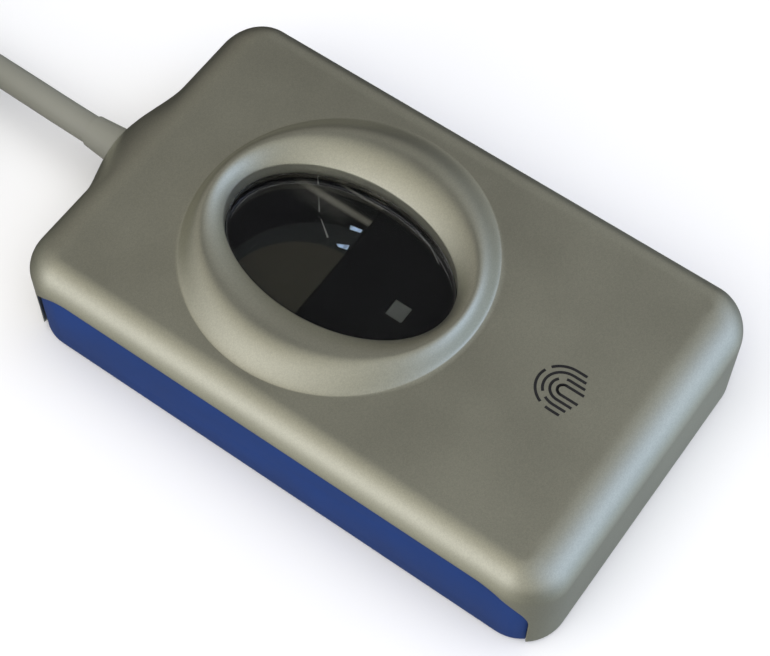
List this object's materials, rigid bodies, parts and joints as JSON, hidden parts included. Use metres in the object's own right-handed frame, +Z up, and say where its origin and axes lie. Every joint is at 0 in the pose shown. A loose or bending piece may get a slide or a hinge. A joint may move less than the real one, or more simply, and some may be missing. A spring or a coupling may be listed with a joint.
{
  "type": "fingerprint scanner terminal",
  "caption": "Palm-sized optical fingerprint reader: rounded silver case with blue side panels, a raised ring round an oval glass window, a coiled cord and a plug.",
  "frame": {"origin": "on the underside of the rubber pad, below the middle of the body", "axes": "+X across the body, +Y along it to the cord's exit, +Z up"},
  "size_m": [0.0795, 0.1635, 0.02],
  "materials": {
    "silver_paint": "satin metallic silver paint on moulded plastic",
    "blue_plastic": "satin moulded blue plastic",
    "pad_rubber": "matte rubber",
    "label_film": "blank satin film",
    "ballast_steel": "rolled and zinc plated",
    "screw_steel": "zinc plated",
    "clear_glass": "polished",
    "black_rubber": "matte",
    "black_plastic": "fine matte",
    "pale_plastic": "satin",
    "milky_plastic": "translucent milky",
    "led_resin": "clear resin",
    "chip_plastic": "moulded epoxy",
    "green_board": "solder mask",
    "can_metal": "satin",
    "ceramic": "fired ceramic",
    "ivory_plastic": "satin",
    "wire_plastic": "satin insulation",
    "cord_pvc": "satin light grey PVC",
    "tie_fabric": "woven hook and loop",
    "grip_pvc": "satin light grey PVC",
    "plug_steel": "nickel plated sheet",
    "tongue_plastic": "satin",
    "contact_brass": "gold plated"
  },
  "bodies": {
    "root": {"top_shell": "silver_paint", "base_tray": "blue_plastic", "foot_pad": "pad_rubber", "rating_label": "label_film", "ballast_plate": "ballast_steel", "case_screws": "screw_steel", "frame_screws": "screw_steel", "glass_block": "clear_glass", "window_gasket": "black_rubber", "optics_frame": "black_plastic", "light_mask": "black_plastic", "finger_sensor": "pale_plastic", "led_diffuser": "milky_plastic", "leds": "led_resin", "lens_barrel": "black_plastic", "lens": "clear_glass", "image_sensor": "chip_plastic", "sensor_board": "green_board", "main_board": "green_board", "controller_chip": "chip_plastic", "memory_chip": "chip_plastic", "crystal": "can_metal", "capacitors": "ceramic", "resistors": "chip_plastic", "cable_header": "ivory_plastic", "cable_plug": "ivory_plastic", "inner_wires": "wire_plastic", "strain_relief": "cord_pvc", "cord_run": "cord_pvc", "cord_coil": "cord_pvc", "cord_tie": "tie_fabric", "cord_tail": "cord_pvc", "usb_grip": "grip_pvc", "usb_shell": "plug_steel", "usb_tongue": "tongue_plastic", "usb_contacts": "contact_brass"}
  },
  "joints": []
}
